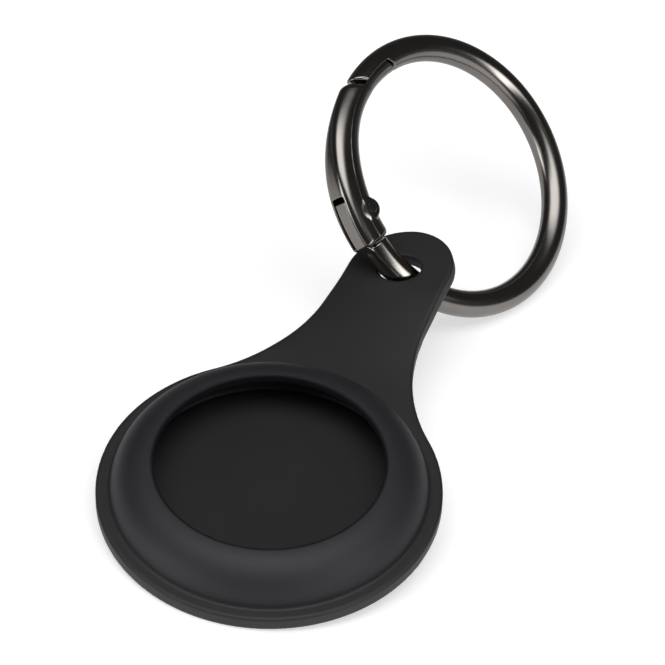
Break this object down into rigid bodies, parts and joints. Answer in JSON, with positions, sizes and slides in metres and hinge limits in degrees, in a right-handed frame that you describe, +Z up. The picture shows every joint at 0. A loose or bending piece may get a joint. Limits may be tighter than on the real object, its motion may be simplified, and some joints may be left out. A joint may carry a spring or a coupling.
{
  "type": "tracker tag holder",
  "caption": "Soft silicone holder for a round tracker tag, a dished pocket with a tab, hung on a spring-gate key ring",
  "frame": {"origin": "on the ground under the middle of the object's box, as it lies with the pocket's mouth up", "axes": "+Z up, out of the pocket's mouth; +Y from the pocket to the ring; +X to the right seen from above"},
  "size_m": [0.0402, 0.092, 0.0264],
  "materials": {
    "silicone": "matte, softly moulded",
    "gunmetal": "polished gunmetal plating",
    "spring_steel": "bright wire"
  },
  "bodies": {
    "holder": {"holder": "silicone"},
    "ring": {"ring_frame": "gunmetal", "hinge_pin": "gunmetal", "gate_spring": "spring_steel"},
    "gate": {"gate": "gunmetal"}
  },
  "joints": [
    {"name": "ring_swing", "type": "hinge", "parent": "holder", "child": "ring", "pos_m": [0, 0.01225, 0.00882], "axis": [-0.01, 0.9639, 0.266], "range_deg": [0, 68]},
    {"name": "gate_hinge", "type": "hinge", "parent": "ring", "child": "gate", "pos_m": [-0.00617, 0.01376, 0.01502], "axis": [-0.6723, 0.1904, -0.7153], "range_deg": [0, 22], "stiffness_Nm_per_rad": 0.01, "springref_deg": -20.05, "deforming": ["gate_spring"]}
  ]
}
